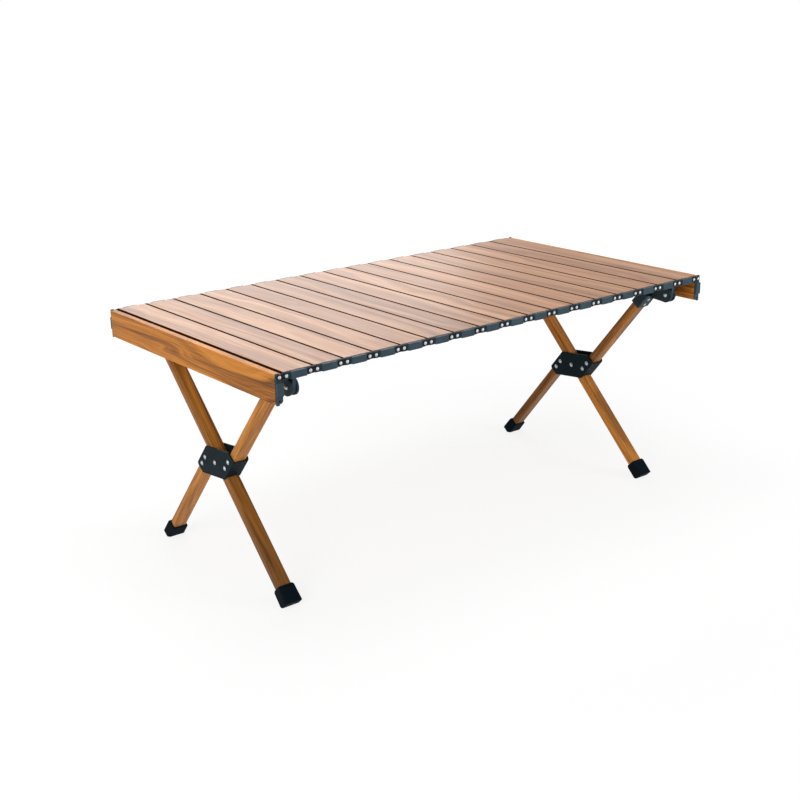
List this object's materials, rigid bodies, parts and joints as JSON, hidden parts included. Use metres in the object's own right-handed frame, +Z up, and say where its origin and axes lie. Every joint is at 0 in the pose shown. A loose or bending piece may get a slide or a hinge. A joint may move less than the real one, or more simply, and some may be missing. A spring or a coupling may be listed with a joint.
{
  "type": "roll top camp table",
  "caption": "Low folding camp table: a roll-up top of linked wood-grain slats with hanging end boards, on folding cross-leg trestles with rubber feet.",
  "frame": {"origin": "centre of the footprint, on the floor", "axes": "+X along the table, +Y across it to the far edge, +Z up"},
  "size_m": [1.2044, 0.65, 0.521],
  "materials": {
    "wood_grain_slat": "satin, printed wood grain on an aluminium extrusion",
    "wood_grain_apron": "satin, printed wood grain on an aluminium extrusion",
    "wood_grain_leg": "satin, printed wood grain on an aluminium tube",
    "edge_nylon": "black moulded nylon, with steel links and rivets",
    "trestle_nylon": "black moulded nylon",
    "hanger_black": "black moulded nylon",
    "bolt_steel": "plated steel",
    "foot_rubber": "black moulded rubber"
  },
  "bodies": {
    "slat_01": {"slat_01": "wood_grain_slat", "slat_01_ends": "edge_nylon", "left_hangers": "hanger_black"},
    "slat_02": {"slat_02": "wood_grain_slat", "slat_02_ends": "edge_nylon"},
    "slat_03": {"slat_03": "wood_grain_slat", "slat_03_ends": "edge_nylon"},
    "slat_04": {"slat_04": "wood_grain_slat", "slat_04_ends": "edge_nylon"},
    "slat_05": {"slat_05": "wood_grain_slat", "slat_05_ends": "edge_nylon"},
    "slat_06": {"slat_06": "wood_grain_slat", "slat_06_ends": "edge_nylon"},
    "slat_07": {"slat_07": "wood_grain_slat", "slat_07_ends": "edge_nylon"},
    "slat_08": {"slat_08": "wood_grain_slat", "slat_08_ends": "edge_nylon"},
    "slat_09": {"slat_09": "wood_grain_slat", "slat_09_ends": "edge_nylon"},
    "slat_10": {"slat_10": "wood_grain_slat", "slat_10_ends": "edge_nylon"},
    "slat_11": {"slat_11": "wood_grain_slat", "slat_11_ends": "edge_nylon"},
    "slat_12": {"slat_12": "wood_grain_slat", "slat_12_ends": "edge_nylon"},
    "slat_13": {"slat_13": "wood_grain_slat", "slat_13_ends": "edge_nylon"},
    "slat_14": {"slat_14": "wood_grain_slat", "slat_14_ends": "edge_nylon"},
    "slat_15": {"slat_15": "wood_grain_slat", "slat_15_ends": "edge_nylon"},
    "slat_16": {"slat_16": "wood_grain_slat", "slat_16_ends": "edge_nylon"},
    "slat_17": {"slat_17": "wood_grain_slat", "slat_17_ends": "edge_nylon", "right_hangers": "hanger_black"},
    "left_apron": {"left_apron": "wood_grain_apron", "left_apron_ends": "edge_nylon"},
    "left_split_leg": {"left_upper_half_leg": "wood_grain_leg", "left_lower_half_leg": "wood_grain_leg", "left_hub_outer_shell": "trestle_nylon", "left_hub_inner_shell": "trestle_nylon", "left_hub_bolts": "bolt_steel", "left_half_leg_bracket": "trestle_nylon", "left_half_leg_foot": "foot_rubber"},
    "left_long_leg": {"left_long_leg": "wood_grain_leg", "left_long_leg_bracket": "trestle_nylon", "left_long_leg_foot": "foot_rubber"},
    "right_apron": {"right_apron": "wood_grain_apron", "right_apron_ends": "edge_nylon"},
    "right_split_leg": {"right_upper_half_leg": "wood_grain_leg", "right_lower_half_leg": "wood_grain_leg", "right_hub_outer_shell": "trestle_nylon", "right_hub_inner_shell": "trestle_nylon", "right_hub_bolts": "bolt_steel", "right_half_leg_bracket": "trestle_nylon", "right_half_leg_foot": "foot_rubber"},
    "right_long_leg": {"right_long_leg": "wood_grain_leg", "right_long_leg_bracket": "trestle_nylon", "right_long_leg_foot": "foot_rubber"}
  },
  "joints": [
    {"name": "top_roll", "type": "hinge", "parent": "slat_09", "child": "slat_10", "pos_m": [0.04225, 0, 0.513], "axis": [0, 1, 0], "range_deg": [0, 5]},
    {"name": "roll_slat_11", "type": "hinge", "parent": "slat_10", "child": "slat_11", "pos_m": [0.11125, 0, 0.513], "axis": [0, 1, 0], "range_deg": [0, 5]},
    {"name": "roll_slat_12", "type": "hinge", "parent": "slat_11", "child": "slat_12", "pos_m": [0.18025, 0, 0.513], "axis": [0, 1, 0], "range_deg": [0, 5]},
    {"name": "roll_slat_13", "type": "hinge", "parent": "slat_12", "child": "slat_13", "pos_m": [0.24925, 0, 0.513], "axis": [0, 1, 0], "range_deg": [0, 5]},
    {"name": "roll_slat_14", "type": "hinge", "parent": "slat_13", "child": "slat_14", "pos_m": [0.31825, 0, 0.513], "axis": [0, 1, 0], "range_deg": [0, 5]},
    {"name": "roll_slat_15", "type": "hinge", "parent": "slat_14", "child": "slat_15", "pos_m": [0.38725, 0, 0.513], "axis": [0, 1, 0], "range_deg": [0, 5]},
    {"name": "roll_slat_16", "type": "hinge", "parent": "slat_15", "child": "slat_16", "pos_m": [0.45625, 0, 0.513], "axis": [0, 1, 0], "range_deg": [0, 5]},
    {"name": "roll_slat_17", "type": "hinge", "parent": "slat_16", "child": "slat_17", "pos_m": [0.52525, 0, 0.513], "axis": [0, 1, 0], "range_deg": [0, 5]},
    {"name": "roll_slat_08", "type": "hinge", "parent": "slat_09", "child": "slat_08", "pos_m": [-0.04225, 0, 0.513], "axis": [0, -1, 0], "range_deg": [0, 5]},
    {"name": "roll_slat_07", "type": "hinge", "parent": "slat_08", "child": "slat_07", "pos_m": [-0.11125, 0, 0.513], "axis": [0, -1, 0], "range_deg": [0, 5]},
    {"name": "roll_slat_06", "type": "hinge", "parent": "slat_07", "child": "slat_06", "pos_m": [-0.18025, 0, 0.513], "axis": [0, -1, 0], "range_deg": [0, 5]},
    {"name": "roll_slat_05", "type": "hinge", "parent": "slat_06", "child": "slat_05", "pos_m": [-0.24925, 0, 0.513], "axis": [0, -1, 0], "range_deg": [0, 5]},
    {"name": "roll_slat_04", "type": "hinge", "parent": "slat_05", "child": "slat_04", "pos_m": [-0.31825, 0, 0.513], "axis": [0, -1, 0], "range_deg": [0, 5]},
    {"name": "roll_slat_03", "type": "hinge", "parent": "slat_04", "child": "slat_03", "pos_m": [-0.38725, 0, 0.513], "axis": [0, -1, 0], "range_deg": [0, 5]},
    {"name": "roll_slat_02", "type": "hinge", "parent": "slat_03", "child": "slat_02", "pos_m": [-0.45625, 0, 0.513], "axis": [0, -1, 0], "range_deg": [0, 5]},
    {"name": "roll_slat_01", "type": "hinge", "parent": "slat_02", "child": "slat_01", "pos_m": [-0.52525, 0, 0.513], "axis": [0, -1, 0], "range_deg": [0, 5]},
    {"name": "left_apron_hinge", "type": "hinge", "parent": "slat_01", "child": "left_apron", "pos_m": [-0.59425, 0, 0.513], "axis": [0, 1, 0], "range_deg": [-10, 90]},
    {"name": "left_leg_hinge", "type": "hinge", "parent": "slat_01", "child": "left_split_leg", "pos_m": [-0.5417, -0.276, 0.475], "axis": [1, 0, 0], "range_deg": [-38, 0]},
    {"name": "left_scissor", "type": "hinge", "parent": "left_split_leg", "child": "left_long_leg", "pos_m": [-0.5325, 0, 0.24487], "axis": [1, 0, 0], "range_deg": [0, 76]},
    {"name": "right_apron_hinge", "type": "hinge", "parent": "slat_17", "child": "right_apron", "pos_m": [0.59425, 0, 0.513], "axis": [0, -1, 0], "range_deg": [-10, 90]},
    {"name": "right_leg_hinge", "type": "hinge", "parent": "slat_17", "child": "right_split_leg", "pos_m": [0.5417, -0.276, 0.475], "axis": [1, 0, 0], "range_deg": [-38, 0]},
    {"name": "right_scissor", "type": "hinge", "parent": "right_split_leg", "child": "right_long_leg", "pos_m": [0.5325, 0, 0.24487], "axis": [1, 0, 0], "range_deg": [0, 76]}
  ],
  "couplings": [
    {"joint": "roll_slat_11", "follows": "top_roll", "ratio": 1},
    {"joint": "roll_slat_12", "follows": "top_roll", "ratio": 1},
    {"joint": "roll_slat_13", "follows": "top_roll", "ratio": 1},
    {"joint": "roll_slat_14", "follows": "top_roll", "ratio": 1},
    {"joint": "roll_slat_15", "follows": "top_roll", "ratio": 1},
    {"joint": "roll_slat_16", "follows": "top_roll", "ratio": 1},
    {"joint": "roll_slat_17", "follows": "top_roll", "ratio": 1},
    {"joint": "roll_slat_08", "follows": "top_roll", "ratio": 1},
    {"joint": "roll_slat_07", "follows": "top_roll", "ratio": 1},
    {"joint": "roll_slat_06", "follows": "top_roll", "ratio": 1},
    {"joint": "roll_slat_05", "follows": "top_roll", "ratio": 1},
    {"joint": "roll_slat_04", "follows": "top_roll", "ratio": 1},
    {"joint": "roll_slat_03", "follows": "top_roll", "ratio": 1},
    {"joint": "roll_slat_02", "follows": "top_roll", "ratio": 1},
    {"joint": "roll_slat_01", "follows": "top_roll", "ratio": 1},
    {"joint": "left_leg_hinge", "follows": "left_scissor", "ratio": -0.5},
    {"joint": "right_leg_hinge", "follows": "right_scissor", "ratio": -0.5}
  ]
}
